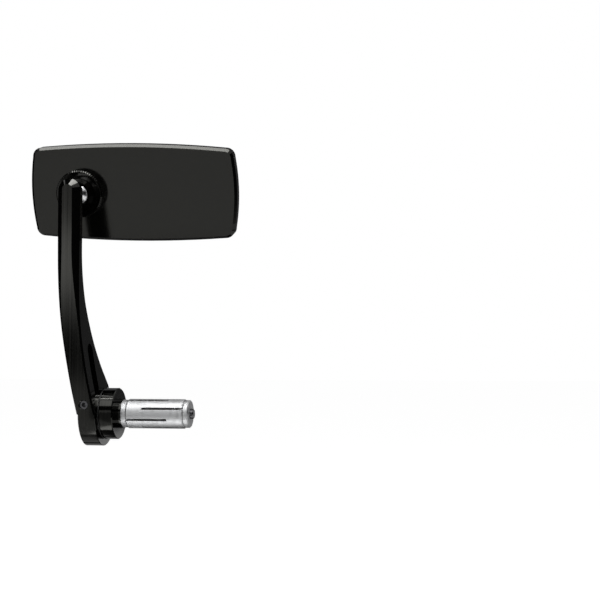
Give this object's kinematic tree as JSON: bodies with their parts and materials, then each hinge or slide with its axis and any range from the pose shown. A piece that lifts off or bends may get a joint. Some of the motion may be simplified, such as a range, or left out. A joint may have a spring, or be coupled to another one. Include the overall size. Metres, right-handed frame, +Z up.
{
  "type": "motorcycle bar end mirror",
  "caption": "Rectangular rear-view mirror on a ball joint and a bowed arm, with a clamp that expands inside the end of a handlebar.",
  "frame": {"origin": "centre of the collar's face that meets the end of the handlebar", "axes": "+X along the handlebar, into it; +Y towards the rider, who sees the glass; +Z up, along the arm"},
  "size_m": [0.1265, 0.0462, 0.1809],
  "materials": {
    "black_anodised": "satin black anodised",
    "mirror_glass": "silvered convex glass",
    "foam_pad": "matt foam tape",
    "spring_steel": "plain",
    "white_plastic": "moulded",
    "polished_steel": "polished",
    "zinc_steel": "zinc plated",
    "black_rubber": "matt",
    "grey_plastic": "moulded",
    "black_steel": "black oxide",
    "bare_aluminium": "turned"
  },
  "bodies": {
    "clamp": {"collar": "black_anodised", "eye_ring": "grey_plastic", "expander_bolt": "black_steel", "bolt_washer": "zinc_steel", "outer_cone": "bare_aluminium", "expander_sleeve": "bare_aluminium", "sleeve_rings": "black_rubber", "cone_nut": "bare_aluminium", "register_ring": "black_rubber"},
    "arm": {"arm": "black_anodised", "arm_set_screw": "black_steel", "end_cap": "black_anodised", "cap_ring": "black_rubber"},
    "stud": {"ball_stud": "polished_steel"},
    "cup": {"ball_seat": "white_plastic"},
    "head": {"mirror_housing": "black_anodised", "mirror_glass": "mirror_glass", "glass_pad": "foam_pad", "ring_nut": "black_anodised", "seat_spring": "spring_steel"}
  },
  "joints": [
    {"name": "arm_swivel", "type": "hinge", "parent": "clamp", "child": "arm", "pos_m": [-0.013, 0, 0], "axis": [1, 0, 0], "continuous": true},
    {"name": "head_roll", "type": "hinge", "parent": "arm", "child": "stud", "pos_m": [-0.0266, 0.0023, 0.1306], "axis": [0, 1, 0], "range_deg": [-26, 24]},
    {"name": "head_pan", "type": "hinge", "parent": "stud", "child": "cup", "pos_m": [-0.0266, 0.0023, 0.1306], "axis": [0, 0, 1], "range_deg": [-20, 16]},
    {"name": "head_tilt", "type": "hinge", "parent": "cup", "child": "head", "pos_m": [-0.0266, 0.0023, 0.1306], "axis": [1, 0, 0], "range_deg": [-35, 4]}
  ]
}
